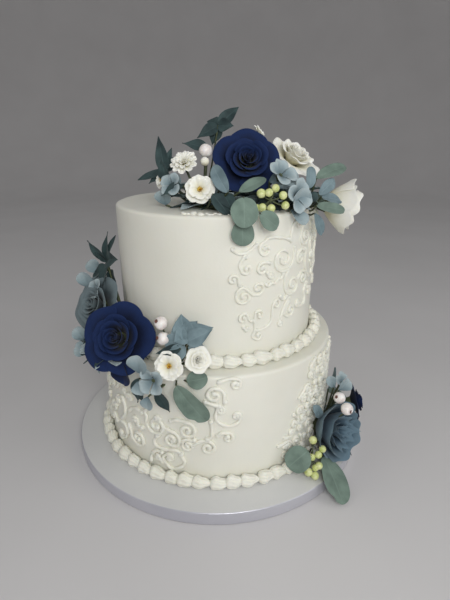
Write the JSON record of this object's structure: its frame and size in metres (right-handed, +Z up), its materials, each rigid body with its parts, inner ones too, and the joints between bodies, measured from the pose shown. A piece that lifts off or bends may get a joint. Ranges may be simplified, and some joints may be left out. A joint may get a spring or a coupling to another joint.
{
  "type": "tiered wedding cake",
  "caption": "Two-tier round wedding cake in white icing on a round board, with piped shell borders and groups of blue and white flowers, leaves and berries.",
  "frame": {"origin": "middle of the cake board's underside, on the surface that the board rests on", "axes": "+Z up through the tiers, -Y towards the front of the cake, +X to the right as seen from the front"},
  "size_m": [0.305, 0.3048, 0.3338],
  "materials": {
    "icing": "smooth white icing with a soft sheen",
    "board_foil": "pale foil paper with a satin sheen",
    "navy_petal": "matt navy blue petals, darker in the heart",
    "slate_petal": "matt slate blue petals",
    "dusty_petal": "matt dusty blue petals and leaves",
    "white_petal": "matt ivory white petals",
    "eucalyptus": "matt grey-green leaves",
    "teal_leaf": "matt dark teal leaves",
    "white_berry": "satin white berries with a brown crown",
    "green_berry": "satin pale green berries"
  },
  "bodies": {
    "root": {"cake_board": "board_foil", "bottom_tier": "icing", "top_tier": "icing", "bottom_shell_border": "icing", "top_shell_border": "icing", "top_navy_rose": "navy_petal", "top_white_rose": "white_petal", "top_side_white_rose": "white_petal", "top_open_blossom": "white_petal", "top_ruffled_blossom": "white_petal", "top_side_blossom": "white_petal", "top_rear_blossom": "white_petal", "top_white_berry": "white_berry", "top_green_berries": "green_berry", "top_blue_petal_upper": "dusty_petal", "top_blue_petal_lower": "dusty_petal", "top_blue_petal_edge": "dusty_petal", "top_blue_petal_left": "dusty_petal", "top_blue_petal_dark": "dusty_petal", "top_eucalyptus_front": "eucalyptus", "top_eucalyptus_under": "eucalyptus", "top_eucalyptus_short": "eucalyptus", "top_eucalyptus_inner": "eucalyptus", "top_eucalyptus_right": "eucalyptus", "top_eucalyptus_upright": "dusty_petal", "top_blue_leaf": "dusty_petal", "top_blue_leaf_low": "dusty_petal", "top_teal_leaf": "eucalyptus", "top_hanging_leaf": "dusty_petal", "top_dusty_leaf": "dusty_petal", "top_left_spray": "teal_leaf", "top_rear_spray": "teal_leaf", "left_navy_rose": "navy_petal", "left_slate_rose": "slate_petal", "left_open_blossom": "white_petal", "left_small_rose": "white_petal", "left_upper_berry": "white_berry", "left_lower_berry": "white_berry", "left_blue_petal_upper": "dusty_petal", "left_blue_petal_crown": "dusty_petal", "left_blue_petal_side": "dusty_petal", "left_blue_petal_outer": "dusty_petal", "left_pale_petal": "dusty_petal", "left_pale_petal_low": "dusty_petal", "left_pale_petal_foot": "dusty_petal", "left_dark_leaf": "teal_leaf", "left_dark_leaf_right": "teal_leaf", "left_eucalyptus_long": "eucalyptus", "left_eucalyptus_short": "eucalyptus", "left_teal_spray": "teal_leaf", "left_dusty_spray": "dusty_petal", "right_slate_peony": "slate_petal", "right_navy_rose": "navy_petal", "right_inner_berry": "white_berry", "right_outer_berry": "white_berry", "right_green_berries": "green_berry", "right_blue_petal_upper": "dusty_petal", "right_blue_petal_inner": "dusty_petal", "right_eucalyptus_upper": "eucalyptus", "right_eucalyptus_lower": "eucalyptus"}
  },
  "joints": []
}
